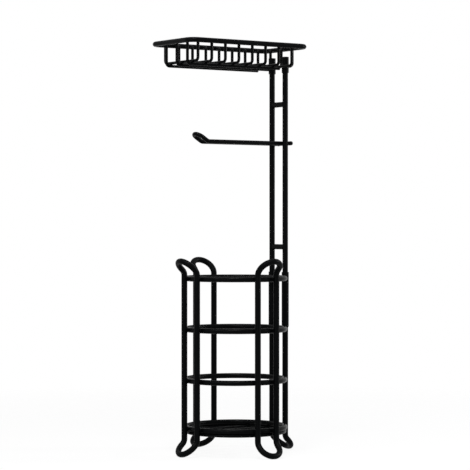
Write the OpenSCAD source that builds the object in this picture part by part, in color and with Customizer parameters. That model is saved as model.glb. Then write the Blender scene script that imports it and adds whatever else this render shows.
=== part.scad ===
// Free-standing toilet roll holder: a round wire cage, a ladder-like upright with an arm,
// and a wire basket on top. All sizes are in millimetres.
// The origin is on the floor under the middle of the whole piece, +Z is up, and -Y is the
// side that the roll arm points to.

/* [Cage rings] */
// Radius of the rings, to the middle of the wire
ring_radius = 84; // [76:1:100]
// Thickness of the rings' wire
ring_wire_d = 9; // [6:0.5:11]
// Height of the lowest ring
bottom_ring_z = 44.4; // [40:0.2:60]
// Height of the top ring
top_ring_z = 297; // [285:1:305]
// Distance between the upper three rings
ring_pitch = 86; // [70:1:95]
// Thickness of the thin ring under the lowest thick one
base_ring_d = 5.2; // [5:0.1:7]
// Thickness of the wires across the bottom of the cage
base_wire_d = 4.8; // [3:0.1:4.8]
// Distance between the wires across the bottom of the cage
base_wire_pitch = 34; // [24:1:40]

/* [Cage legs] */
// Thickness of the leg tube
leg_d = 10; // [8:0.5:12]
// Distance between the two legs of a loop
leg_spacing = 38; // [34:1:44]
// Height of the leg loops above the floor
loop_top_z = 332; // [330:1:350]
// Radius of the bend where a leg starts to lean outwards
leg_bend_r = 12; // [8:1:16]
// Angle that the loop ends lean outwards from the vertical
lean_angle = 46.8; // [35:0.2:55]
// Straight stretch of tube between the leaning bend and the round loop end
lean_run = 3; // [1:0.5:8]
// Depth of the small flat that each loop stands on
foot_flat = 0.3; // [0.1:0.1:1]

/* [Sleeves and posts] */
// Outer diameter of the sleeves that the posts plug into
sleeve_d = 12.3; // [11.5:0.1:15]
// Height of the sleeves' lower ends, where the rear legs stop
sleeve_bottom_z = 213; // [200:1:225]
// Length of the sleeves
sleeve_len = 93.6; // [80:0.2:110]
// Diameter of the upright posts
post_d = 9.5; // [8:0.5:10]
// Length of the upright posts
post_len = 460; // [430:5:560]
// Gap all round a post in its sleeve and in its socket
post_clearance = 0.05; // [0.02:0.01:0.1]
// Thickness of the rungs between the posts
rung_d = 9; // [6:0.5:9]
// Distance of the lower rung from the posts' lower ends
lower_rung_up = 137; // [120:1:200]
// Distance of the upper rung from the posts' upper ends
upper_rung_down = 78; // [50:1:110]

/* [Roll arm] */
// Thickness of the arm's wire and its crossbar
arm_wire_d = 7.2; // [5:0.2:8]
// Distance between the two wires of the arm
arm_spacing = 19.5; // [16:0.5:20]
// Distance of the arm from the posts' upper ends
arm_down = 145; // [130:1:180]
// Reach of the arm's level stretch in front of the posts
arm_reach = 154; // [130:1:180]
// Angle that the arm's tip turns up
tip_angle = 32; // [20:1:50]
// Radius of the bend at the start of the tip
tip_bend_r = 10; // [6:1:20]
// Straight stretch between the tip's bend and its round end
tip_run = 10.4; // [5:0.2:20]
// Length of the crossbar that the arm is welded to
crossbar_len = 52; // [46:1:70]

/* [Basket rim and wires] */
// Thickness of the rim
rim_d = 8.5; // [6:0.5:10]
// Length of the rim, to the middle of the wire
rim_len = 238; // [200:1:260]
// Width of the rim, to the middle of the wire
rim_width = 119.4; // [110:0.2:150]
// Radius of the rim's corners
rim_corner_r = 14; // [10:1:20]
// Distance of the rim's back behind the posts
rim_behind_posts = 16.5; // [13:0.5:25]
// Height of the rim above the cross wires
rim_rise = 32.6; // [28:0.1:60]
// Thickness of the basket's thin wires
basket_wire_d = 5; // [3.5:0.5:6]
// Distance of the basket's walls inside the rim
wall_inset = 10.8; // [9:0.2:14]
// Radius of the bends between the floor and the walls
floor_bend_r = 6; // [4:0.5:9]
// Angle that the wires' upper ends turn out from the vertical to the rim
flare_angle = 90; // [60:1:90]
// Radius of the bend where they turn out
flare_bend_r = 4; // [3:0.5:6]
// Distance of the first cross wire from the front wall
first_wire_inset = 9.2; // [9.2:0.2:16]
// Distance between the lengthwise floor wires
long_wire_pitch = 31.5; // [29:0.1:34]
// Distance of the lengthwise wires' rear ends in front of the last cross wire
long_wire_stop = 13.7; // [8:0.1:20]

/* [Basket sockets] */
// Outer diameter of the sockets that the posts plug into
socket_d = 12.2; // [11.5:0.1:14]
// Height of the sockets
socket_len = 27; // [22:1:40]
// Thickness of the sockets' closed tops
socket_cap = 3; // [1.5:0.5:5]
// Height of the cross wires above the sockets' mouths
floor_above_mouth = 10.3; // [9:0.1:14]
// Rounding of the free bar ends
end_round = 1.5; // [0.5:0.1:2]

/* [Hidden] */
$fn = 96;
COAT = "#1a1a1c";
CROSS_WIRES = 8;
LONG_WIRES = 3;
BASE_WIRES = 4;
QUARTER_TURN = 90;
HALF_TURN = 180;
// Extra angle of a half loop, which is cut off where its mirror image meets it
OVERRUN = 1;
// Extra angle by which a bend reaches into the stretch that follows it
BEND_OVERLAP = 0.3;
// Loss of diameter where the wire is drawn round a bend
BEND_THINNING = 0.04;

// Rings, from the lowest to the top one
ring_heights = [bottom_ring_z, top_ring_z - 2 * ring_pitch, top_ring_z - ring_pitch, top_ring_z];
base_z = bottom_ring_z - ring_wire_d / 2 - base_ring_d / 2;

// Legs stand against the outside of the rings
leg_circle_r = ring_radius + ring_wire_d / 2 + leg_d / 2;
leg_reach = sqrt(pow(leg_circle_r, 2) - pow(leg_spacing / 2, 2));
foot_z = leg_d / 2 - foot_flat;
bend_tangent = leg_bend_r * tan(lean_angle / 2);
lean_len = bend_tangent + lean_run + leg_spacing / 2;
lean_out = lean_len * sin(lean_angle);
lean_rise = lean_len * cos(lean_angle);
lower_straight_z = foot_z + lean_rise + bend_tangent;
upper_straight_z = loop_top_z - leg_d / 2 - lean_rise - bend_tangent;

// Reach of the part from the cage's axis, which places the origin under the middle
rim_back = leg_reach + rim_behind_posts;
rim_front = rim_back - rim_len;
loop_reach = leg_reach + lean_out + leg_d / 2;
front_reach = max(loop_reach, rim_d / 2 - rim_front);
rear_reach = max(loop_reach, rim_back + rim_d / 2);
axis_y = (front_reach - rear_reach) / 2;
post_y = axis_y + leg_reach;

// Posts stand on the rear legs, and the basket's sockets stand on the posts
bore_d = post_d + 2 * post_clearance;
post_top_z = sleeve_bottom_z + post_len;
lower_rung_z = sleeve_bottom_z + lower_rung_up;
upper_rung_z = post_top_z - upper_rung_down;
arm_z = post_top_z - arm_down;
crossbar_y = post_y + post_d / 2 + arm_wire_d / 2;
socket_mouth_z = post_top_z + socket_cap - socket_len;

// Basket levels: the rim, the cross wires and the lengthwise wires under them
cross_z = socket_mouth_z + floor_above_mouth;
long_z = cross_z - basket_wire_d;
rim_z = cross_z + rim_rise;
rim_middle_y = axis_y + (rim_back + rim_front) / 2;
front_wall_y = axis_y + rim_front + wall_inset;
back_wall_y = axis_y + rim_back - wall_inset;
side_wall_x = rim_width / 2 - wall_inset;

// The last cross wire touches the sockets
first_cross_y = front_wall_y + first_wire_inset;
last_cross_y = post_y - socket_d / 2 - basket_wire_d / 2;
cross_pitch = (last_cross_y - first_cross_y) / (CROSS_WIRES - 1);
long_end_y = last_cross_y - long_wire_stop;
flare_run = (wall_inset - flare_bend_r * (1 - cos(flare_angle))) / sin(flare_angle);
flare_rise = flare_bend_r * sin(flare_angle) + flare_run * cos(flare_angle);

// Steps that a bent wire is made of: a straight run, a bend and a rounded free end. A bend turns
// the wire towards its own +X, after that direction is turned round the wire by the angle toward.
function run(length) = ["run", length];
function bend(radius, angle, toward) = ["bend", radius, angle, toward];
function end_cap(rounding) = ["cap", rounding];

// A bent wire that starts at the origin along +Z and follows its steps
module wire(d, steps, i = 0) {
    if (i < len(steps)) {
        step = steps[i];
        if (step[0] == "run") {
            cylinder(d = d, h = step[1]);
            translate([0, 0, step[1]])
                wire(d, steps, i + 1);
        }
        if (step[0] == "bend") {
            radius = step[1];
            angle = step[2];
            rotate([0, 0, step[3]]) {
                bent_stretch(d, radius, angle);
                translate([radius * (1 - cos(angle)), 0, radius * sin(angle)])
                    rotate([0, angle, 0])
                        wire(d, steps, i + 1);
            }
        }
        if (step[0] == "cap") {
            rounded_cap(d, step[1]);
        }
    }
}

// Part of a torus that leaves the origin along +Z and turns towards +X. It is a hair thinner
// than the straight stretches, as a drawn bend is, and its far end reaches into the next one.
module bent_stretch(d, radius, angle) {
    translate([radius, 0, 0])
        rotate([90, 0, 0])
            mirror([1, 0, 0])
                rotate_extrude(angle = angle + BEND_OVERLAP)
                    translate([radius, 0])
                        circle(d = d - BEND_THINNING);
}

// Free end of a bar, with its edge rounded
module rounded_cap(d, rounding) {
    rotate_extrude() {
        square([d / 2 - rounding, rounding]);
        translate([d / 2 - rounding, 0])
            intersection() {
                circle(r = rounding);
                square(rounding);
            }
    }
}

// Draws its children twice, mirrored about the plane X = 0
module both_sides() {
    children();
    mirror([1, 0, 0])
        children();
}

// Draws a half wire that runs a little past X = 0 and its mirror image, both cut to meet there
module joined_halves(reach) {
    both_sides()
        intersection() {
            children();
            translate([0, -reach, -reach])
                cube(2 * reach);
        }
}

// Places its children on the cage's axis
module on_axis() {
    translate([0, axis_y, 0])
        children();
}

// Places its children at a post, on the side given by its sign
module at_post(side, z) {
    translate([side * leg_spacing / 2, post_y, z])
        children();
}

// Full circle of round wire on the cage's axis
module hoop(d, z) {
    on_axis()
        translate([0, 0, z])
            rotate_extrude()
                translate([ring_radius, 0])
                    circle(d = d);
}

// One of the four thick rings, notched where the sleeves pass
module ring(i) {
    color(COAT)
        difference() {
            hoop(ring_wire_d, ring_heights[i]);
            for (side = [-1, 1])
                sleeve_outline(side);
        }
}

// Thin ring under the lowest thick one, which holds the wires across the bottom
module base_ring() {
    color(COAT)
        hoop(base_ring_d, base_z);
}

// Straight wire across the base ring, with its ends shaped to the ring
module base_wire(i) {
    x = (i - (BASE_WIRES - 1) / 2) * base_wire_pitch;
    half_len = sqrt(pow(ring_radius, 2) - pow(x, 2));
    color(COAT)
        difference() {
            on_axis()
                translate([x, -half_len, base_z])
                    rotate([-90, 0, 0])
                        cylinder(d = base_wire_d, h = 2 * half_len);
            hoop(base_ring_d, base_z);
        }
}

// Half of a loop's end: the leg leans outwards and turns in to the middle
module loop_end(straight_len) {
    wire(leg_d, [
        run(straight_len),
        bend(leg_bend_r, lean_angle, 90),
        run(lean_run),
        bend(leg_spacing / 2, QUARTER_TURN + OVERRUN, 90)
    ]);
}

// Lower end of a pair of legs, up to the height given, cut flat where it stands
module foot_end(top_z) {
    difference() {
        joined_halves(loop_top_z)
            translate([leg_spacing / 2, leg_reach, top_z])
                mirror([0, 0, 1])
                    loop_end(top_z - lower_straight_z);
        translate([-leg_spacing, leg_reach, -leg_d])
            cube([2 * leg_spacing, 2 * lean_out, leg_d]);
    }
}

// Closed loop of tube that makes two legs, turned round the cage's axis by the angle given
module leg_loop(turn) {
    middle_z = (lower_straight_z + upper_straight_z) / 2;
    color(COAT)
        on_axis()
            rotate([0, 0, turn]) {
                foot_end(middle_z);
                joined_halves(loop_top_z)
                    translate([leg_spacing / 2, leg_reach, middle_z])
                        loop_end(upper_straight_z - middle_z);
            }
}

// Rear pair of legs, which stops where the posts stand on it
module rear_foot_loop() {
    color(COAT)
        on_axis()
            foot_end(sleeve_bottom_z);
}

module sleeve_outline(side) {
    at_post(side, sleeve_bottom_z)
        cylinder(d = sleeve_d, h = sleeve_len);
}

// Sleeve welded to the upper rings, bored for the post
module sleeve(side) {
    color(COAT)
        difference() {
            sleeve_outline(side);
            at_post(side, sleeve_bottom_z - 1)
                cylinder(d = bore_d, h = sleeve_len + 2);
        }
}

module post(side) {
    color(COAT)
        at_post(side, sleeve_bottom_z)
            cylinder(d = post_d, h = post_len);
}

// Rung between the posts, with its ends shaped to them
module rung(z) {
    color(COAT)
        difference() {
            translate([-leg_spacing / 2, post_y, z])
                rotate([0, 90, 0])
                    cylinder(d = rung_d, h = leg_spacing);
            for (side = [-1, 1])
                post(side);
        }
}

// Bar across the backs of the posts that carries the arm
module arm_crossbar() {
    color(COAT)
        both_sides()
            translate([0, crossbar_y, arm_z])
                rotate([0, 90, 0])
                    wire(arm_wire_d, [run(crossbar_len / 2 - end_round), end_cap(end_round)]);
}

// Long narrow loop between the posts, with its tip turned up
module roll_arm() {
    root_y = crossbar_y - arm_wire_d / 4;
    level_run = root_y - (post_y - arm_reach) - tip_bend_r * tan(tip_angle / 2);
    color(COAT)
        difference() {
            translate([arm_spacing / 2, root_y, arm_z])
                rotate([90, 0, 0])
                    wire(arm_wire_d, [
                        run(level_run),
                        bend(tip_bend_r, tip_angle, 90),
                        run(tip_run),
                        bend(arm_spacing / 2, HALF_TURN, 90),
                        run(tip_run),
                        bend(tip_bend_r, tip_angle, -90),
                        run(level_run)
                    ]);
            arm_crossbar();
        }
}

// Rounded rectangle of thick wire round the basket's top
module basket_rim() {
    quarter = [
        run(rim_len / 2 - rim_corner_r),
        bend(rim_corner_r, QUARTER_TURN, 180),
        run(rim_width / 2 - rim_corner_r)
    ];
    color(COAT)
        translate([0, rim_middle_y, rim_z])
            both_sides()
                for (y_side = [0, 1])
                    mirror([0, y_side, 0])
                        translate([rim_width / 2, 0, 0])
                            rotate([-90, 0, 0])
                                wire(rim_d, quarter);
}

// Thin wire that runs along the floor towards +X, turns up at the wall and out to the rim
module wall_wire(floor_run, rise) {
    rotate([0, 90, 0])
        wire(basket_wire_d, [
            run(floor_run),
            bend(floor_bend_r, QUARTER_TURN, 180),
            run(rise - floor_bend_r - flare_rise),
            bend(flare_bend_r, flare_angle, 180),
            run(flare_run)
        ]);
}

// Wire across the basket that makes a strip of floor and both walls
module cross_wire(i) {
    color(COAT)
        difference() {
            both_sides()
                translate([0, first_cross_y + i * cross_pitch, cross_z])
                    wall_wire(side_wall_x - floor_bend_r, rim_rise);
            basket_rim();
        }
}

// Lengthwise wire under the cross wires, which goes up the front wall to the rim
module long_wire(i) {
    color(COAT)
        difference() {
            translate([(i - (LONG_WIRES - 1) / 2) * long_wire_pitch, long_end_y, long_z])
                rotate([0, 0, -90]) {
                    wall_wire(long_end_y - front_wall_y - floor_bend_r, rim_rise + basket_wire_d);
                    rotate([0, -90, 0])
                        rounded_cap(basket_wire_d, end_round / 2);
                }
            basket_rim();
        }
}

// Short wire from the last cross wire to the back wall and up to the rim
module back_wire(i) {
    start_y = last_cross_y + basket_wire_d / 4;
    color(COAT)
        difference() {
            translate([(i - (LONG_WIRES - 1) / 2) * long_wire_pitch, start_y, cross_z])
                rotate([0, 0, 90])
                    wall_wire(back_wall_y - floor_bend_r - start_y, rim_rise);
            basket_rim();
            last_cross_outline();
        }
}

// Outline of the last cross wire's floor, which the back wires' ends are shaped to
module last_cross_outline() {
    translate([-side_wall_x, last_cross_y, cross_z])
        rotate([0, 90, 0])
            cylinder(d = basket_wire_d, h = 2 * side_wall_x);
}

// Socket with a closed top that stands on the post
module socket(side) {
    color(COAT)
        difference() {
            at_post(side, socket_mouth_z)
                cylinder(d = socket_d, h = socket_len);
            at_post(side, socket_mouth_z - 1)
                cylinder(d = bore_d, h = socket_len - socket_cap + 1);
        }
}

for (i = [0 : 3])
    ring(i);
base_ring();
for (i = [0 : BASE_WIRES - 1])
    base_wire(i);
leg_loop(180);  // leg_loop_front
leg_loop(-90);  // leg_loop_right
leg_loop(90);  // leg_loop_left
rear_foot_loop();
sleeve(-1);  // sleeve_left
sleeve(1);  // sleeve_right
post(-1);  // post_left
post(1);  // post_right
rung(lower_rung_z);  // lower_rung
rung(upper_rung_z);  // upper_rung
arm_crossbar();
roll_arm();
basket_rim();
for (i = [0 : CROSS_WIRES - 1])
    cross_wire(i);
for (i = [0 : LONG_WIRES - 1])
    long_wire(i);
for (i = [0 : LONG_WIRES - 1])
    back_wire(i);
socket(-1);  // socket_left
socket(1);  // socket_right
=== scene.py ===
"""Looks of a free-standing toilet roll holder made of bent black wire and tube.

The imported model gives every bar, ring, sleeve and socket. This file gives them their powder
coat, adds the weld metal at their joints and sets up a white studio with the camera. It is laid
out as an add-on with one operator for each group of pieces, and runs as a script.
"""

import math

import bmesh
import bpy
from bpy.props import FloatProperty, FloatVectorProperty, PointerProperty
from mathutils import Matrix, Vector


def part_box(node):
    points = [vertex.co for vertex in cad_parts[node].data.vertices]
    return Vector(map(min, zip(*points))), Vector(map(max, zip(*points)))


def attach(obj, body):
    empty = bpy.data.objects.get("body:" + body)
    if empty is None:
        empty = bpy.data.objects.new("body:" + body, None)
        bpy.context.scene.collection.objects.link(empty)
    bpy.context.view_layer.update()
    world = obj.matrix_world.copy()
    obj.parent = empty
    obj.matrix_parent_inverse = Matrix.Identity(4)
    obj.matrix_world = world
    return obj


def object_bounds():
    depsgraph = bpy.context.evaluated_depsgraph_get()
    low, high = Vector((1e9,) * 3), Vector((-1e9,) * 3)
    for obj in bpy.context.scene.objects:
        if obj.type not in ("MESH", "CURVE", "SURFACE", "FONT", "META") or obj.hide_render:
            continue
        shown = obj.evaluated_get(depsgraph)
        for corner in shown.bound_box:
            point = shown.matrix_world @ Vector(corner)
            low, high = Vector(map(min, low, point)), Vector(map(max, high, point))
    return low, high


bl_info = {
    "name": "Wire Roll Holder",
    "version": (1, 0, 0),
    "blender": (4, 5, 0),
    "location": "3D View > Sidebar > Roll Holder",
    "description": "Coats a bent wire roll holder, adds its weld metal and sets up its studio",
    "category": "Object",
}

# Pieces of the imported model, by what they are made of
RINGS = [f"ring_{i}" for i in range(1, 5)]
BASE_WIRES = [f"base_wire_{i}" for i in range(1, 5)]
LEG_LOOPS = ["leg_loop_front", "leg_loop_right", "leg_loop_left"]
CROSS_WIRES = [f"cross_wire_{i}" for i in range(1, 9)]
LONG_WIRES = [f"long_wire_{i}" for i in range(1, 4)]
BACK_WIRES = [f"back_wire_{i}" for i in range(1, 4)]
TUBES = LEG_LOOPS + [
    "rear_foot_loop",
    "sleeve_left",
    "sleeve_right",
    "post_left",
    "post_right",
    "lower_rung",
    "upper_rung",
    "socket_left",
    "socket_right",
]
THICK_WIRES = RINGS + ["arm_crossbar", "roll_arm", "basket_rim"]
THIN_WIRES = ["base_ring"] + BASE_WIRES + CROSS_WIRES + LONG_WIRES + BACK_WIRES

# Middle of a noise texture's range
NOISE_MIDDLE = 0.5

# How far the slow patches change the coat's shade and roughness
SHADE_DRIFT = 1.6
GLOSS_DRIFT = 0.3

# Share of the orange peel in the bump, where the fine grain has the rest
PEEL_SHARE = 0.75
# Strength of the bump and of the coat's reflections
BUMP_STRENGTH = 0.1
COAT_SPECULAR = 0.03

# How many times lighter a scuff is, and how dust and rubbing change the roughness
SCUFF_SHADE = 3
DUST_ROUGHNESS = 0.4
RUB_ROUGHNESS = -0.12

# Faces round a weld bead and across it, and the seed of its unevenness
BEAD_SEGMENTS = 24
BEAD_SIDES = 8
LUMP_SEED = 5

# Radius of the spot welds on the sleeves as a share of the ring wire's
SLEEVE_SPOT_SHARE = 0.78
# Thickness of a sleeve's rounded lip and its depth below the top, as shares of the wall
LIP_SHARE = 0.82
LIP_SINK_SHARE = 0.3
# Beads on the base wires and the arm as a share of the other beads' thickness
SMALL_BEAD_SHARE = 0.8

# Camera's sensor width in millimetres and how far it sees in metres
SENSOR_WIDTH = 36
VIEW_DEPTH = 50

# Sides of the round floor and how far it lies below the feet
FLOOR_SIDES = 64
FLOOR_DROP = 0.0002
# Floor's grey for light that falls on it, and its share of plain white where it is seen
FLOOR_WHITE = 0.9
FLOOR_GLOW = 0.9
# Where the floor starts to fade and where it is gone, as shares of its radius
FADE_START = 0.35
FADE_END = 0.9

SIDES = (-1, 1)
X_AXIS = Vector((1, 0, 0))
Y_AXIS = Vector((0, 1, 0))
Z_AXIS = Vector((0, 0, 1))

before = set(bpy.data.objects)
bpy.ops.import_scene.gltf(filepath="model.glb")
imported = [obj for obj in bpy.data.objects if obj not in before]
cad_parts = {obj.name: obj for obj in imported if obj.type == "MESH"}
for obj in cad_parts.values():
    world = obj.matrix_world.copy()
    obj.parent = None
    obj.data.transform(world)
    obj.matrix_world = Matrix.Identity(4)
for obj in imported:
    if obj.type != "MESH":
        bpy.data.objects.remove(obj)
cad_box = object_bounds()


def middle(node):
    """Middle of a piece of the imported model"""
    low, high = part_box(node)
    return (low + high) / 2


def extent(node):
    """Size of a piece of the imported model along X, Y and Z"""
    low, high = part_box(node)
    return high - low


class CoatSettings(bpy.types.PropertyGroup):
    """Colours and finish of the powder coat"""

    colour: FloatVectorProperty(
        name="Coat Colour",
        description="Colour of the powder coat",
        subtype="COLOR",
        size=3,
        min=0,
        max=1,
        default=(0.0009, 0.0011, 0.0013),
    )
    # Colour of faint dust on the upper sides, which is also a painted highlight that lightens the
    # tops
    dust_and_sheen_colour: FloatVectorProperty(
        name="Dust Colour",
        description="Colour of the faint dust on the upper sides",
        subtype="COLOR",
        size=3,
        min=0,
        max=1,
        default=(0.02, 0.0195, 0.019),
    )
    tube_roughness: FloatProperty(
        name="Tube Roughness",
        description="Roughness of the coat on legs, posts, sleeves and sockets",
        subtype="FACTOR",
        min=0,
        max=1,
        default=0.43,
    )
    wire_roughness: FloatProperty(
        name="Wire Roughness",
        description="Roughness of the coat on rings, rim, arm and basket wires",
        subtype="FACTOR",
        min=0,
        max=1,
        default=0.3,
    )
    bead_roughness: FloatProperty(
        name="Weld Roughness",
        description="Roughness of the coat over the weld metal",
        subtype="FACTOR",
        min=0,
        max=1,
        default=0.36,
    )


class WeldSettings(bpy.types.PropertyGroup):
    """Sizes of the weld metal"""

    thick_bead: FloatProperty(
        name="Thick Bead",
        description="Thickness of the beads round the ends of rungs and arm",
        unit="LENGTH",
        min=0.0005,
        max=0.004,
        default=0.0019,
    )
    thin_bead: FloatProperty(
        name="Thin Bead",
        description="Thickness of the beads round the ends of thin wires",
        unit="LENGTH",
        min=0.0004,
        max=0.003,
        default=0.0013,
    )
    spot_share: FloatProperty(
        name="Spot Width",
        description="Radius of a spot weld as a share of the thinner bar's radius",
        subtype="FACTOR",
        min=0.3,
        max=0.9,
        default=0.74,
    )
    lump: FloatProperty(
        name="Unevenness",
        description="How far the weld metal's surface strays",
        unit="LENGTH",
        min=0,
        max=0.0003,
        default=0.00007,
    )


class StudioSettings(bpy.types.PropertyGroup):
    """Camera, floor and lamps"""

    distance: FloatProperty(
        name="Camera Distance",
        description="Distance of the camera from the cage's axis",
        unit="LENGTH",
        default=3.3764,
    )
    turn: FloatProperty(
        name="Camera Turn",
        description="Direction of the camera, from the front towards the right side",
        subtype="ANGLE",
        default=math.radians(54.74),
    )
    sidestep: FloatProperty(
        name="Camera Sidestep",
        description="Distance of the camera to the left of the line to the cage's axis",
        unit="LENGTH",
        default=0.0006,
    )
    height: FloatProperty(
        name="Camera Height",
        description="Height of the camera above the floor",
        unit="LENGTH",
        default=0.39,
    )
    pitch: FloatProperty(
        name="Camera Pitch",
        description="Angle that the camera looks down",
        subtype="ANGLE",
        default=math.radians(0.3295),
    )
    lens: FloatProperty(
        name="Lens",
        description="Focal length for a 36 mm sensor",
        subtype="DISTANCE_CAMERA",
        default=152.13,
    )
    floor_radius: FloatProperty(
        name="Floor Radius",
        description="Radius of the pale floor, which fades out at its edge",
        unit="LENGTH",
        default=1.6,
    )
    sky_light: FloatProperty(
        name="Sky Light",
        description="Brightness of the white surroundings as a lamp",
        min=0,
        max=1,
        default=0.25,
    )


def join_nodes(tree, source, target):
    """Links one node's output to another node's input"""
    tree.links.new(source, target)


def add_node(tree, kind, place, **values):
    """Node at a place in the tree, with the values given for its inputs"""
    made = tree.nodes.new(kind)
    made.location = place
    for name, value in values.items():
        made.inputs[name.replace("_", " ")].default_value = value
    return made


def add_math(tree, operation, place, *values):
    """Math node with the values given for its inputs, where None leaves one free"""
    made = tree.nodes.new("ShaderNodeMath")
    made.operation = operation
    made.location = place
    for socket, value in zip(made.inputs, values):
        if value is not None:
            socket.default_value = value
    return made


def new_group(name, inputs, outputs):
    """Empty shader node group with the sockets given as name: (type, default)"""
    tree = bpy.data.node_groups.new(name, "ShaderNodeTree")
    for label, (kind, default) in inputs.items():
        socket = tree.interface.new_socket(label, in_out="INPUT", socket_type=kind)
        socket.default_value = default
    for label, kind in outputs.items():
        tree.interface.new_socket(label, in_out="OUTPUT", socket_type=kind)
    return (
        tree,
        add_node(tree, "NodeGroupInput", (-900, 0)),
        add_node(tree, "NodeGroupOutput", (700, 0)),
    )


def powder_coat_group():
    """Sprayed and baked powder: orange peel, fine grain and slow changes of shade and gloss"""
    tree, given, out = new_group(
        "Powder Coat",
        {
            "Colour": ("NodeSocketColor", (0.01, 0.01, 0.01, 1)),
            "Roughness": ("NodeSocketFloat", 0.4),
            "Peel Scale": ("NodeSocketFloat", 500.0),
            "Grain Scale": ("NodeSocketFloat", 2600.0),
            "Patchiness": ("NodeSocketFloat", 0.5),
            "Mottle": ("NodeSocketFloat", 0.5),
        },
        {"Color": "NodeSocketColor", "Roughness": "NodeSocketFloat", "Height": "NodeSocketFloat"},
    )
    place = add_node(tree, "ShaderNodeTexCoord", (-900, 300))
    peel = add_node(tree, "ShaderNodeTexNoise", (-600, 300), Detail=2.0, Roughness=0.45)
    grain = add_node(tree, "ShaderNodeTexNoise", (-600, 50), Detail=1.0, Roughness=0.6)
    patches = add_node(tree, "ShaderNodeTexNoise", (-600, -200), Scale=22.0, Detail=4.0)
    for texture in (peel, grain, patches):
        join_nodes(tree, place.outputs["Object"], texture.inputs["Vector"])
    join_nodes(tree, given.outputs["Peel Scale"], peel.inputs["Scale"])
    join_nodes(tree, given.outputs["Grain Scale"], grain.inputs["Scale"])

    centred = add_math(tree, "SUBTRACT", (-350, -200), None, NOISE_MIDDLE)
    join_nodes(tree, patches.outputs["Fac"], centred.inputs[0])
    drift = add_math(tree, "MULTIPLY", (-180, -200))
    join_nodes(tree, centred.outputs[0], drift.inputs[0])
    join_nodes(tree, given.outputs["Patchiness"], drift.inputs[1])

    shade = add_math(tree, "MULTIPLY_ADD", (0, -100), None, SHADE_DRIFT, 1.0)
    join_nodes(tree, drift.outputs[0], shade.inputs[0])
    colour = add_node(tree, "ShaderNodeVectorMath", (250, 150))
    colour.operation = "SCALE"
    join_nodes(tree, given.outputs["Colour"], colour.inputs["Vector"])
    join_nodes(tree, shade.outputs[0], colour.inputs["Scale"])
    join_nodes(tree, colour.outputs["Vector"], out.inputs["Color"])

    gloss = add_math(tree, "MULTIPLY_ADD", (0, -300), None, GLOSS_DRIFT)
    join_nodes(tree, drift.outputs[0], gloss.inputs[0])
    join_nodes(tree, given.outputs["Roughness"], gloss.inputs[2])
    dimples = add_math(tree, "SUBTRACT", (0, -480), None, NOISE_MIDDLE)
    join_nodes(tree, peel.outputs["Fac"], dimples.inputs[0])
    mottled = add_math(tree, "MULTIPLY_ADD", (250, -300))
    join_nodes(tree, dimples.outputs[0], mottled.inputs[0])
    join_nodes(tree, given.outputs["Mottle"], mottled.inputs[1])
    join_nodes(tree, gloss.outputs[0], mottled.inputs[2])
    join_nodes(tree, mottled.outputs[0], out.inputs["Roughness"])

    ripple = add_math(tree, "MULTIPLY", (-180, 200), None, PEEL_SHARE)
    join_nodes(tree, peel.outputs["Fac"], ripple.inputs[0])
    height = add_math(tree, "MULTIPLY_ADD", (0, 120), None, 1 - PEEL_SHARE)
    join_nodes(tree, grain.outputs["Fac"], height.inputs[0])
    join_nodes(tree, ripple.outputs[0], height.inputs[2])
    join_nodes(tree, height.outputs[0], out.inputs["Height"])
    return tree


def dust_and_sheen_group():
    """Mask of faint dust and a painted highlight on the sides that face up"""
    tree, given, out = new_group(
        "Dust and Sheen",
        {"Amount": ("NodeSocketFloat", 0.2), "Speck Scale": ("NodeSocketFloat", 900.0)},
        {"Mask": "NodeSocketFloat"},
    )
    surface = add_node(tree, "ShaderNodeNewGeometry", (-900, 300))
    upward = add_node(tree, "ShaderNodeSeparateXYZ", (-700, 300))
    join_nodes(tree, surface.outputs["Normal"], upward.inputs[0])
    facing = add_node(tree, "ShaderNodeMapRange", (-500, 300), From_Min=0.45, From_Max=1.0)
    join_nodes(tree, upward.outputs["Z"], facing.inputs["Value"])

    place = add_node(tree, "ShaderNodeTexCoord", (-900, -200))
    specks = add_node(tree, "ShaderNodeTexNoise", (-700, -200), Detail=3.0)
    join_nodes(tree, place.outputs["Object"], specks.inputs["Vector"])
    join_nodes(tree, given.outputs["Speck Scale"], specks.inputs["Scale"])
    drifts = add_node(tree, "ShaderNodeTexNoise", (-700, -450), Scale=35.0, Detail=2.0)
    join_nodes(tree, place.outputs["Object"], drifts.inputs["Vector"])
    sparse = add_node(tree, "ShaderNodeMapRange", (-500, -200), From_Min=0.4, From_Max=0.7)
    join_nodes(tree, specks.outputs["Fac"], sparse.inputs["Value"])

    lying = add_math(tree, "MULTIPLY", (-250, 100))
    join_nodes(tree, facing.outputs[0], lying.inputs[0])
    join_nodes(tree, sparse.outputs[0], lying.inputs[1])
    drifted = add_math(tree, "MULTIPLY", (0, 0))
    join_nodes(tree, lying.outputs[0], drifted.inputs[0])
    join_nodes(tree, drifts.outputs["Fac"], drifted.inputs[1])
    mask = add_math(tree, "MULTIPLY", (250, 0))
    join_nodes(tree, drifted.outputs[0], mask.inputs[0])
    join_nodes(tree, given.outputs["Amount"], mask.inputs[1])
    join_nodes(tree, mask.outputs[0], out.inputs["Mask"])
    return tree


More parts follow.
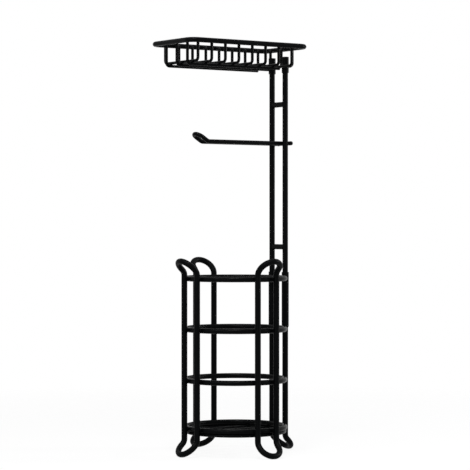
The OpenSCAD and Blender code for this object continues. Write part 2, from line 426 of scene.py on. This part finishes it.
def rub_marks_group():
    """Mask of fine scuffs that run along Z, as from pushing a tube into its sleeve"""
    tree, given, out = new_group(
        "Rub Marks",
        {"Amount": ("NodeSocketFloat", 0.2), "Streak": ("NodeSocketVector", (900.0, 900.0, 30.0))},
        {"Mask": "NodeSocketFloat"},
    )
    place = add_node(tree, "ShaderNodeTexCoord", (-900, 200))
    stretched = add_node(tree, "ShaderNodeVectorMath", (-650, 200))
    stretched.operation = "MULTIPLY"
    join_nodes(tree, place.outputs["Object"], stretched.inputs[0])
    join_nodes(tree, given.outputs["Streak"], stretched.inputs[1])
    streaks = add_node(tree, "ShaderNodeTexNoise", (-400, 200), Scale=1.0, Detail=2.0)
    join_nodes(tree, stretched.outputs["Vector"], streaks.inputs["Vector"])
    thin = add_node(tree, "ShaderNodeMapRange", (-150, 200), From_Min=0.6, From_Max=0.72)
    join_nodes(tree, streaks.outputs["Fac"], thin.inputs["Value"])
    mask = add_math(tree, "MULTIPLY", (150, 100))
    join_nodes(tree, thin.outputs[0], mask.inputs[0])
    join_nodes(tree, given.outputs["Amount"], mask.inputs[1])
    join_nodes(tree, mask.outputs[0], out.inputs["Mask"])
    return tree


def place_group(tree, name, build, place, **values):
    """Node that holds a group, which is built the first time, with its own values"""
    made = add_node(tree, "ShaderNodeGroup", place)
    made.node_tree = bpy.data.node_groups.get(name) or build()
    for label, value in values.items():
        made.inputs[label.replace("_", " ")].default_value = value
    return made


def coat_material(name, roughness, peel_scale, peel_depth, patchiness, mottle, dust_and_sheen, rubbing):
    """Black powder coat with orange peel, faint dust and a painted highlight on top, and faint rub
    marks
    """
    material = bpy.data.materials.get(name)
    if material:
        return material
    settings = bpy.context.scene.holder_coat
    material = bpy.data.materials.new(name)
    material.use_nodes = True
    tree = material.node_tree
    shader = tree.nodes["Principled BSDF"]
    shader.inputs["Specular IOR Level"].default_value = COAT_SPECULAR

    coat = place_group(
        tree,
        "Powder Coat",
        powder_coat_group,
        (-900, 200),
        Colour=(*settings.colour, 1),
        Roughness=roughness,
        Peel_Scale=peel_scale,
        Patchiness=patchiness,
        Mottle=mottle,
    )
    dust_and_sheen_mask = place_group(tree, "Dust and Sheen", dust_and_sheen_group, (-900, -200), Amount=dust_and_sheen)
    rubbed = place_group(tree, "Rub Marks", rub_marks_group, (-900, -400), Amount=rubbing)

    scuffed = add_node(tree, "ShaderNodeMix", (-600, 300))
    scuffed.data_type = "RGBA"
    scuffed.inputs["B"].default_value = (*(SCUFF_SHADE * part for part in settings.colour), 1)
    join_nodes(tree, rubbed.outputs["Mask"], scuffed.inputs["Factor"])
    join_nodes(tree, coat.outputs["Color"], scuffed.inputs["A"])
    # Upper sides lightened by the dust colour: faint dust and a painted highlight on the tops
    dusted_and_sheened = add_node(tree, "ShaderNodeMix", (-350, 300))
    dusted_and_sheened.data_type = "RGBA"
    dusted_and_sheened.inputs["B"].default_value = (*settings.dust_and_sheen_colour, 1)
    join_nodes(tree, dust_and_sheen_mask.outputs["Mask"], dusted_and_sheened.inputs["Factor"])
    join_nodes(tree, scuffed.outputs["Result"], dusted_and_sheened.inputs["A"])
    join_nodes(tree, dusted_and_sheened.outputs["Result"], shader.inputs["Base Color"])

    dulled = add_math(tree, "MULTIPLY_ADD", (-600, 0), None, DUST_ROUGHNESS)
    join_nodes(tree, dust_and_sheen_mask.outputs["Mask"], dulled.inputs[0])
    join_nodes(tree, coat.outputs["Roughness"], dulled.inputs[2])
    polished = add_math(tree, "MULTIPLY_ADD", (-350, 0), None, RUB_ROUGHNESS)
    join_nodes(tree, rubbed.outputs["Mask"], polished.inputs[0])
    join_nodes(tree, dulled.outputs[0], polished.inputs[2])
    join_nodes(tree, polished.outputs[0], shader.inputs["Roughness"])

    bump = add_node(
        tree, "ShaderNodeBump", (-350, -250), Strength=BUMP_STRENGTH, Distance=peel_depth
    )
    join_nodes(tree, coat.outputs["Height"], bump.inputs["Height"])
    join_nodes(tree, bump.outputs["Normal"], shader.inputs["Normal"])
    return material


def tube_material():
    """Coat on the legs, posts, sleeves and sockets"""
    return coat_material(
        "Tube Coat",
        roughness=bpy.context.scene.holder_coat.tube_roughness,
        peel_scale=420.0,
        peel_depth=0.00006,
        patchiness=0.5,
        mottle=0.3,
        dust_and_sheen=0.3,
        rubbing=0.1,
    )


def thick_wire_material():
    """Coat on the rings, rim and arm"""
    return coat_material(
        "Thick Wire Coat",
        roughness=bpy.context.scene.holder_coat.wire_roughness,
        peel_scale=520.0,
        peel_depth=0.00005,
        patchiness=0.5,
        mottle=0.45,
        dust_and_sheen=0.4,
        rubbing=0.1,
    )


def thin_wire_material():
    """Coat on the basket's and the base's thin wires"""
    return coat_material(
        "Thin Wire Coat",
        roughness=bpy.context.scene.holder_coat.wire_roughness,
        peel_scale=700.0,
        peel_depth=0.00004,
        patchiness=0.4,
        mottle=0.35,
        dust_and_sheen=0.3,
        rubbing=0.1,
    )


def bead_material():
    """Coat over the weld metal, which is rougher and more uneven"""
    return coat_material(
        "Weld Coat",
        roughness=bpy.context.scene.holder_coat.bead_roughness,
        peel_scale=900.0,
        peel_depth=0.0001,
        patchiness=0.7,
        mottle=0.4,
        dust_and_sheen=0.2,
        rubbing=0.0,
    )


def deselect_all():
    """Leaves object mode's selection empty"""
    for obj in bpy.context.selected_objects:
        obj.select_set(False)


def select_ring_part(mesh_object, turn):
    """Selects the vertices of a ring, in edit mode, that lie at one angle round its axis"""
    shape = bmesh.from_edit_mesh(mesh_object.data)
    half_step = math.pi / BEAD_SEGMENTS
    for vertex in shape.verts:
        apart = math.atan2(vertex.co.y, vertex.co.x) - turn
        vertex.select_set(abs(math.remainder(apart, 2 * math.pi)) < half_step)
    shape.select_flush_mode()
    bmesh.update_edit_mesh(mesh_object.data)


def weld_bead(name, radius, thickness, rise):
    """Ring of weld metal round the local Z axis, whose height follows rise at each angle"""
    deselect_all()
    bpy.ops.mesh.primitive_torus_add(
        major_segments=BEAD_SEGMENTS,
        minor_segments=BEAD_SIDES,
        major_radius=radius,
        minor_radius=thickness / 2,
    )
    bead = bpy.context.object
    bead.name = name
    bpy.ops.object.mode_set(mode="EDIT")
    for step in range(BEAD_SEGMENTS):
        turn = 2 * math.pi * step / BEAD_SEGMENTS
        select_ring_part(bead, turn)
        bpy.ops.transform.translate(value=(0, 0, rise(turn)))
    bpy.ops.mesh.select_all(action="SELECT")
    bpy.ops.transform.vertex_random(
        offset=bpy.context.scene.holder_welds.lump, uniform=1.0, normal=0.5, seed=LUMP_SEED
    )
    bpy.ops.object.mode_set(mode="OBJECT")
    bpy.ops.object.shade_smooth()
    return bead


def end_bead(name, bar_radius, host_radius, thickness, skew=0.0):
    """Bead round a bar that ends at the side of a host bar.

    The local Z axis is the bar's, which leads away from the host. The host's axis crosses the
    local origin along X, and is turned towards Z by skew.
    """

    def rise(turn):
        beside = bar_radius * math.sin(turn)
        depth = math.sqrt(max(host_radius**2 - beside**2, 0))
        return (depth + bar_radius * math.cos(turn) * math.sin(skew)) / math.cos(skew)

    return weld_bead(name, bar_radius, thickness, rise)


def spot_bead(name, lower_radius, upper_radius, radius=None, sink=0.0):
    """Collar round the spot where a bar along X carries a bar along Y.

    The local origin is where they touch, or the middle of their overlap, whose depth is sink.
    """
    settings = bpy.context.scene.holder_welds
    if radius is None:
        radius = settings.spot_share * min(lower_radius, upper_radius)

    def lower_drop(turn):
        return lower_radius - math.sqrt(lower_radius**2 - (radius * math.sin(turn)) ** 2)

    def upper_lift(turn):
        return upper_radius - math.sqrt(upper_radius**2 - (radius * math.cos(turn)) ** 2)

    def rise(turn):
        return (upper_lift(turn) - lower_drop(turn)) / 2

    gap = max(lower_drop(math.pi / 2), upper_lift(0)) - sink
    bite = settings.thin_bead / 4
    return weld_bead(name, radius, gap + bite, rise)


def seat(origin, outward, along):
    """Matrix that puts a bead at origin with its local Z outward and its local X along"""
    z = Vector(outward).normalized()
    x = Vector(along).normalized()
    made = Matrix((x, z.cross(x), z)).transposed().to_4x4()
    made.translation = origin
    return made


def ring_seat(reach, turn, level):
    """Seat at a distance from the cage's axis, facing outwards at one angle and height"""
    axis = middle("ring_1")
    outward = Vector((math.cos(turn), math.sin(turn), 0))
    spot = Vector((axis.x, axis.y, level)) + outward * reach
    return seat(spot, outward, Z_AXIS.cross(outward))


def set_beads(name, body, sets):
    """One piece of all the beads of a kind, given as pairs of a bead and its places"""
    copies = []
    for bead, places in sets:
        for place in places:
            copy = bpy.data.objects.new(name, bead.data.copy())
            copy.data.transform(place)
            bpy.context.collection.objects.link(copy)
            copies.append(copy)
        bpy.data.objects.remove(bead)
    deselect_all()
    for copy in copies:
        copy.select_set(True)
    bpy.context.view_layer.objects.active = copies[0]
    bpy.ops.object.join()
    welds = bpy.context.object
    welds.name = name
    welds.data.materials.clear()
    welds.data.materials.append(bead_material())
    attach(welds, body)


class ROLLHOLDER_OT_coat_bars(bpy.types.Operator):
    """Gives every bar, ring, sleeve and socket its powder coat"""

    bl_idname = "roll_holder.coat_bars"
    bl_label = "Coat the Bars"

    def execute(self, context):
        coats = {name: tube_material() for name in TUBES}
        coats |= {name: thick_wire_material() for name in THICK_WIRES}
        coats |= {name: thin_wire_material() for name in THIN_WIRES}
        bare = sorted(set(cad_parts) - set(coats))
        if bare:
            raise RuntimeError(f"these pieces have no coat: {bare}")
        for name, material in coats.items():
            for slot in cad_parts[name].material_slots:
                slot.material = material
        return {"FINISHED"}


class ROLLHOLDER_OT_weld_cage(bpy.types.Operator):
    """Adds the weld metal of the cage: rings, legs, base wires and sleeves"""

    bl_idname = "roll_holder.weld_cage"
    bl_label = "Weld the Cage"

    def execute(self, context):
        self.ring_spots()
        self.base_wire_ends()
        self.sleeve_ends()
        return {"FINISHED"}

    def ring_spots(self):
        """Spot welds where the legs and sleeves stand against the rings"""
        ring_wire = extent("ring_1").z / 2
        half_spacing = middle("post_right").x
        leg = extent("rear_foot_loop").x / 2 - half_spacing
        sleeve = extent("sleeve_right").x / 2
        ring_reach = extent("ring_1").x / 2
        leg_circle = ring_reach + leg
        sleeve_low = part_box("sleeve_right")[0].z
        to_leg = math.asin(half_spacing / leg_circle)
        leg_spots = []
        for ring in RINGS:
            level = middle(ring).z
            for quarter in range(4):
                at_rear = quarter == 1
                if at_rear and level > sleeve_low:
                    continue
                for side in SIDES:
                    turn = quarter * math.pi / 2 + side * to_leg
                    leg_spots.append(ring_seat(ring_reach, turn, level))
        overlap = ring_reach + sleeve - leg_circle
        top = middle(RINGS[-1]).z
        sleeve_spots = [
            ring_seat(ring_reach - overlap / 2, math.pi / 2 + side * to_leg, top)
            for side in SIDES
        ]
        leg_bead = spot_bead("leg_spot", ring_wire, leg)
        sleeve_bead = spot_bead(
            "sleeve_spot",
            ring_wire,
            sleeve,
            radius=ring_wire * SLEEVE_SPOT_SHARE,
            sink=overlap / 2,
        )
        set_beads("ring_welds", "cage", [(leg_bead, leg_spots), (sleeve_bead, sleeve_spots)])

    def base_wire_ends(self):
        """Beads where the wires across the cage's bottom meet the thin ring"""
        thickness = bpy.context.scene.holder_welds.thin_bead * SMALL_BEAD_SHARE
        ring_wire = extent("base_ring").z / 2
        ring_radius = extent("base_ring").x / 2 - ring_wire
        centre = middle("base_ring")
        sets = []
        for name in BASE_WIRES:
            aside = middle(name).x
            half_len = math.sqrt(ring_radius**2 - aside**2)
            skew = math.asin(aside / ring_radius)
            bead = end_bead(name + "_bead", extent(name).z / 2, ring_wire, thickness, skew=skew)
            places = [
                seat(centre + Vector((aside, side * half_len, 0)), -side * Y_AXIS, X_AXIS)
                for side in SIDES
            ]
            sets.append((bead, places))
        set_beads("base_welds", "cage", sets)

    def sleeve_ends(self):
        """Rounded lips of the sleeves and the beads under them"""
        settings = bpy.context.scene.holder_welds
        leg = extent("rear_foot_loop").x / 2 - middle("post_right").x
        outer = extent("sleeve_right").x / 2
        wall = outer - extent("post_right").x / 2
        lip = weld_bead("sleeve_lip", outer - wall / 2, wall * LIP_SHARE, lambda turn: 0)
        under = weld_bead("sleeve_bead", leg, settings.thin_bead, lambda turn: 0)
        tops = []
        bottoms = []
        for name in ("sleeve_left", "sleeve_right"):
            low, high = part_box(name)
            at = middle(name)
            lip_level = high.z - wall * LIP_SINK_SHARE
            tops.append(seat(Vector((at.x, at.y, lip_level)), Z_AXIS, X_AXIS))
            bottoms.append(seat(Vector((at.x, at.y, low.z)), Z_AXIS, X_AXIS))
        set_beads("sleeve_welds", "cage", [(lip, tops), (under, bottoms)])


class ROLLHOLDER_OT_weld_upright(bpy.types.Operator):
    """Adds the weld metal of the upright: rungs, crossbar and arm"""

    bl_idname = "roll_holder.weld_upright"
    bl_label = "Weld the Upright"

    def execute(self, context):
        settings = bpy.context.scene.holder_welds
        post = extent("post_right").x / 2
        rung = extent("upper_rung").z / 2
        bar = extent("arm_crossbar").z / 2
        rung_ends = []
        for name in ("lower_rung", "upper_rung"):
            for side in SIDES:
                host = Vector((side * middle("post_right").x, middle(name).y, middle(name).z))
                rung_ends.append(seat(host, -side * X_AXIS, Z_AXIS))
        bead = end_bead("rung_bead", rung, post, settings.thick_bead)
        set_beads("rung_welds", "upright", [(bead, rung_ends)])

        crossbar = middle("arm_crossbar")
        bar_spots = []
        arm_ends = []
        arm_wire_x = extent("roll_arm").x / 2 - bar
        for side in SIDES:
            spot = Vector((side * middle("post_right").x, crossbar.y - bar, crossbar.z))
            bar_spots.append(seat(spot, Y_AXIS, Z_AXIS))
            host = Vector((side * arm_wire_x, crossbar.y, crossbar.z))
            arm_ends.append(seat(host, -Y_AXIS, X_AXIS))
        bar_bead = spot_bead("crossbar_spot", post, bar)
        arm_bead = end_bead("arm_bead", bar, bar, settings.thick_bead * SMALL_BEAD_SHARE)
        set_beads("arm_welds", "upright", [(bar_bead, bar_spots), (arm_bead, arm_ends)])
        return {"FINISHED"}


class ROLLHOLDER_OT_weld_basket(bpy.types.Operator):
    """Adds the weld metal of the basket: floor, walls, rim and sockets"""

    bl_idname = "roll_holder.weld_basket"
    bl_label = "Weld the Basket"

    def execute(self, context):
        self.floor_spots()
        self.rim_ends()
        self.socket_spots()
        return {"FINISHED"}

    def floor_spots(self):
        """Spot welds where the cross wires lie on the lengthwise wires"""
        wire = extent("cross_wire_1").y / 2
        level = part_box("cross_wire_1")[0].z
        spots = [
            seat((middle(under).x, middle(over).y, level), Z_AXIS, Y_AXIS)
            for over in CROSS_WIRES[:-1]
            for under in LONG_WIRES
        ]
        set_beads("floor_welds", "basket", [(spot_bead("wire_spot", wire, wire), spots)])

    def rim_ends(self):
        """Beads where the thin wires end at the rim"""
        settings = bpy.context.scene.holder_welds
        wire = extent("cross_wire_1").y / 2
        rim = extent("basket_rim").z / 2
        low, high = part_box("basket_rim")
        level = middle("basket_rim").z
        ends = []
        for name in CROSS_WIRES:
            for side, x in zip(SIDES, (low.x + rim, high.x - rim)):
                ends.append(seat((x, middle(name).y, level), -side * X_AXIS, Y_AXIS))
        for name in LONG_WIRES:
            ends.append(seat((middle(name).x, low.y + rim, level), Y_AXIS, X_AXIS))
        for name in BACK_WIRES:
            ends.append(seat((middle(name).x, high.y - rim, level), -Y_AXIS, X_AXIS))
        bead = end_bead("rim_bead", wire, rim, settings.thin_bead)
        set_beads("rim_welds", "basket", [(bead, ends)])

    def socket_spots(self):
        """Welds along the last cross wire and the rounded top edges of the sockets"""
        settings = bpy.context.scene.holder_welds
        wire = extent("cross_wire_1").y / 2
        last_y = middle(CROSS_WIRES[-1]).y
        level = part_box("cross_wire_1")[0].z + wire
        socket = extent("socket_right").x / 2
        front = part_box("socket_right")[0].y
        backs = [seat((middle(name).x, last_y, level), Y_AXIS, X_AXIS) for name in BACK_WIRES]
        spots = [
            seat((side * middle("socket_right").x, front, level), Y_AXIS, X_AXIS) for side in SIDES
        ]
        edge = settings.thin_bead
        sink = edge / 4
        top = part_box("socket_right")[1].z - sink
        tops = [
            seat((middle(name).x, middle(name).y, top), Z_AXIS, X_AXIS)
            for name in ("socket_left", "socket_right")
        ]
        lip = weld_bead("socket_lip", socket - edge / 2, edge, lambda turn: 0)
        back_bead = end_bead("back_bead", wire, wire, settings.thin_bead)
        socket_bead = spot_bead("socket_spot", wire, socket)
        set_beads(
            "socket_welds", "basket", [(back_bead, backs), (socket_bead, spots), (lip, tops)]
        )


def lamp(name, target, turn, rise, distance, size, watts):
    """Soft lamp that looks at the target from a direction given in degrees"""
    light = bpy.data.lights.new(name, "AREA")
    light.shape = "RECTANGLE"
    light.size, light.size_y = size
    light.energy = watts
    stand = bpy.data.objects.new(name, light)
    bpy.context.scene.collection.objects.link(stand)
    turn = math.radians(turn)
    rise = math.radians(rise)
    level = math.cos(rise)
    back = Vector((math.sin(turn) * level, -math.cos(turn) * level, math.sin(rise)))
    stand.location = target + back * distance
    stand.rotation_mode = "QUATERNION"
    stand.rotation_quaternion = (-back).to_track_quat("-Z", "Y")


def shown_ray(tree, place):
    """1 for rays that show the background: from the camera, or by gloss or through glass"""
    path = add_node(tree, "ShaderNodeLightPath", place)
    some = add_math(tree, "MAXIMUM", (place[0] + 200, place[1]))
    join_nodes(tree, path.outputs["Is Camera Ray"], some.inputs[0])
    join_nodes(tree, path.outputs["Is Glossy Ray"], some.inputs[1])
    shown = add_math(tree, "MAXIMUM", (place[0] + 400, place[1]))
    join_nodes(tree, some.outputs[0], shown.inputs[0])
    join_nodes(tree, path.outputs["Is Transmission Ray"], shown.inputs[1])
    return shown.outputs[0]


def white_world(sky_light):
    """Surroundings that look white and light the scene softly"""
    world = bpy.data.worlds.new("White Studio")
    world.use_nodes = True
    tree = world.node_tree
    sky = tree.nodes["Background"]
    sky.inputs["Color"].default_value = (1, 1, 1, 1)
    strength = add_node(tree, "ShaderNodeMapRange", (-300, 0), To_Min=sky_light, To_Max=1.0)
    join_nodes(tree, shown_ray(tree, (-900, 0)), strength.inputs["Value"])
    join_nodes(tree, strength.outputs[0], sky.inputs["Strength"])
    bpy.context.scene.world = world


def floor_material(radius):
    """White floor that keeps a faint shadow and fades into the surroundings at its edge"""
    material = bpy.data.materials.new("Studio Floor")
    material.use_nodes = True
    tree = material.node_tree
    out = tree.nodes["Material Output"]
    matt = tree.nodes["Principled BSDF"]
    matt.inputs["Base Color"].default_value = (FLOOR_WHITE, FLOOR_WHITE, FLOOR_WHITE, 1)
    matt.inputs["Roughness"].default_value = 0.9
    matt.inputs["Specular IOR Level"].default_value = 0.1
    glow = add_node(tree, "ShaderNodeEmission", (0, -200), Color=(1, 1, 1, 1), Strength=1.0)
    clear = add_node(tree, "ShaderNodeBsdfTransparent", (200, -350))

    whiter = add_math(tree, "MULTIPLY", (0, 200), None, FLOOR_GLOW)
    join_nodes(tree, shown_ray(tree, (-700, 200)), whiter.inputs[0])
    pale = add_node(tree, "ShaderNodeMixShader", (250, 0))
    join_nodes(tree, whiter.outputs[0], pale.inputs[0])
    join_nodes(tree, matt.outputs[0], pale.inputs[1])
    join_nodes(tree, glow.outputs[0], pale.inputs[2])

    place = add_node(tree, "ShaderNodeTexCoord", (-700, -400))
    away = add_node(tree, "ShaderNodeVectorMath", (-500, -400))
    away.operation = "LENGTH"
    join_nodes(tree, place.outputs["Object"], away.inputs[0])
    fade = add_node(
        tree,
        "ShaderNodeMapRange",
        (-300, -400),
        From_Min=radius * FADE_START,
        From_Max=radius * FADE_END,
    )
    join_nodes(tree, away.outputs["Value"], fade.inputs["Value"])
    edge = add_node(tree, "ShaderNodeMixShader", (450, 0))
    join_nodes(tree, fade.outputs[0], edge.inputs[0])
    join_nodes(tree, pale.outputs[0], edge.inputs[1])
    join_nodes(tree, clear.outputs[0], edge.inputs[2])
    join_nodes(tree, edge.outputs[0], out.inputs["Surface"])
    return material


class ROLLHOLDER_OT_build_studio(bpy.types.Operator):
    """Sets up the white floor and surroundings, the soft lamps and the camera"""

    bl_idname = "roll_holder.build_studio"
    bl_label = "Build the Studio"

    def execute(self, context):
        settings = context.scene.holder_studio
        white_world(settings.sky_light)
        self.lay_floor(settings)
        target = (cad_box[0] + cad_box[1]) / 2
        lamp("Key Lamp", target, turn=10, rise=35, distance=2.0, size=(0.45, 0.45), watts=9)
        lamp("Strip Lamp", target, turn=35, rise=4, distance=2.2, size=(0.2, 1.4), watts=7)
        lamp("Side Lamp", target, turn=150, rise=15, distance=2.0, size=(0.3, 0.3), watts=22)
        lamp("Top Lamp", target, turn=50, rise=62, distance=1.8, size=(0.5, 0.5), watts=27)
        self.place_camera(settings)
        return {"FINISHED"}

    def lay_floor(self, settings):
        """Round floor under the feet"""
        deselect_all()
        bpy.ops.mesh.primitive_circle_add(
            vertices=FLOOR_SIDES,
            radius=settings.floor_radius,
            fill_type="NGON",
            location=(0, 0, -FLOOR_DROP),
        )
        floor = bpy.context.object
        floor.name = "studio_floor"
        floor.data.materials.append(floor_material(settings.floor_radius))

    def place_camera(self, settings):
        """Camera at the height and distance of the photograph's"""
        camera = bpy.data.cameras.new("Camera")
        camera.lens = settings.lens
        camera.sensor_width = SENSOR_WIDTH
        camera.clip_end = VIEW_DEPTH
        tripod = bpy.data.objects.new("Camera", camera)
        bpy.context.scene.collection.objects.link(tripod)
        back = Vector((math.sin(settings.turn), -math.cos(settings.turn), 0))
        right = Z_AXIS.cross(back)
        axis = middle("ring_1")
        spot = Vector((axis.x, axis.y, 0)) + back * settings.distance - right * settings.sidestep
        tripod.location = (spot.x, spot.y, settings.height)
        tripod.rotation_euler = (math.pi / 2 - settings.pitch, 0, settings.turn)
        bpy.context.scene.camera = tripod
        bpy.context.scene.view_settings.view_transform = "Standard"


OPERATORS = (
    ROLLHOLDER_OT_coat_bars,
    ROLLHOLDER_OT_weld_cage,
    ROLLHOLDER_OT_weld_upright,
    ROLLHOLDER_OT_weld_basket,
    ROLLHOLDER_OT_build_studio,
)
SETTINGS = {
    "holder_coat": CoatSettings,
    "holder_welds": WeldSettings,
    "holder_studio": StudioSettings,
}


class ROLLHOLDER_PT_sidebar(bpy.types.Panel):
    """Steps and sizes of the roll holder"""

    bl_idname = "ROLLHOLDER_PT_sidebar"
    bl_label = "Roll Holder"
    bl_space_type = "VIEW_3D"
    bl_region_type = "UI"
    bl_category = "Roll Holder"

    def draw(self, context):
        for operator in OPERATORS:
            self.layout.operator(operator.bl_idname)
        for name, settings in SETTINGS.items():
            box = self.layout.box()
            for label in settings.__annotations__:
                box.prop(getattr(context.scene, name), label)


def register():
    """Adds the settings, the operators and the panel to Blender"""
    for name, settings in SETTINGS.items():
        bpy.utils.register_class(settings)
        setattr(bpy.types.Scene, name, PointerProperty(type=settings))
    for operator in OPERATORS:
        bpy.utils.register_class(operator)
    bpy.utils.register_class(ROLLHOLDER_PT_sidebar)


def unregister():
    """Takes the panel, the operators and the settings out again"""
    bpy.utils.unregister_class(ROLLHOLDER_PT_sidebar)
    for operator in reversed(OPERATORS):
        bpy.utils.unregister_class(operator)
    for name, settings in reversed(SETTINGS.items()):
        delattr(bpy.types.Scene, name)
        bpy.utils.unregister_class(settings)


def main():
    """Registers the add-on and runs its steps in order"""
    register()
    bpy.ops.roll_holder.coat_bars()
    bpy.ops.roll_holder.weld_cage()
    bpy.ops.roll_holder.weld_upright()
    bpy.ops.roll_holder.weld_basket()
    bpy.ops.roll_holder.build_studio()


if __name__ == "__main__":
    main()
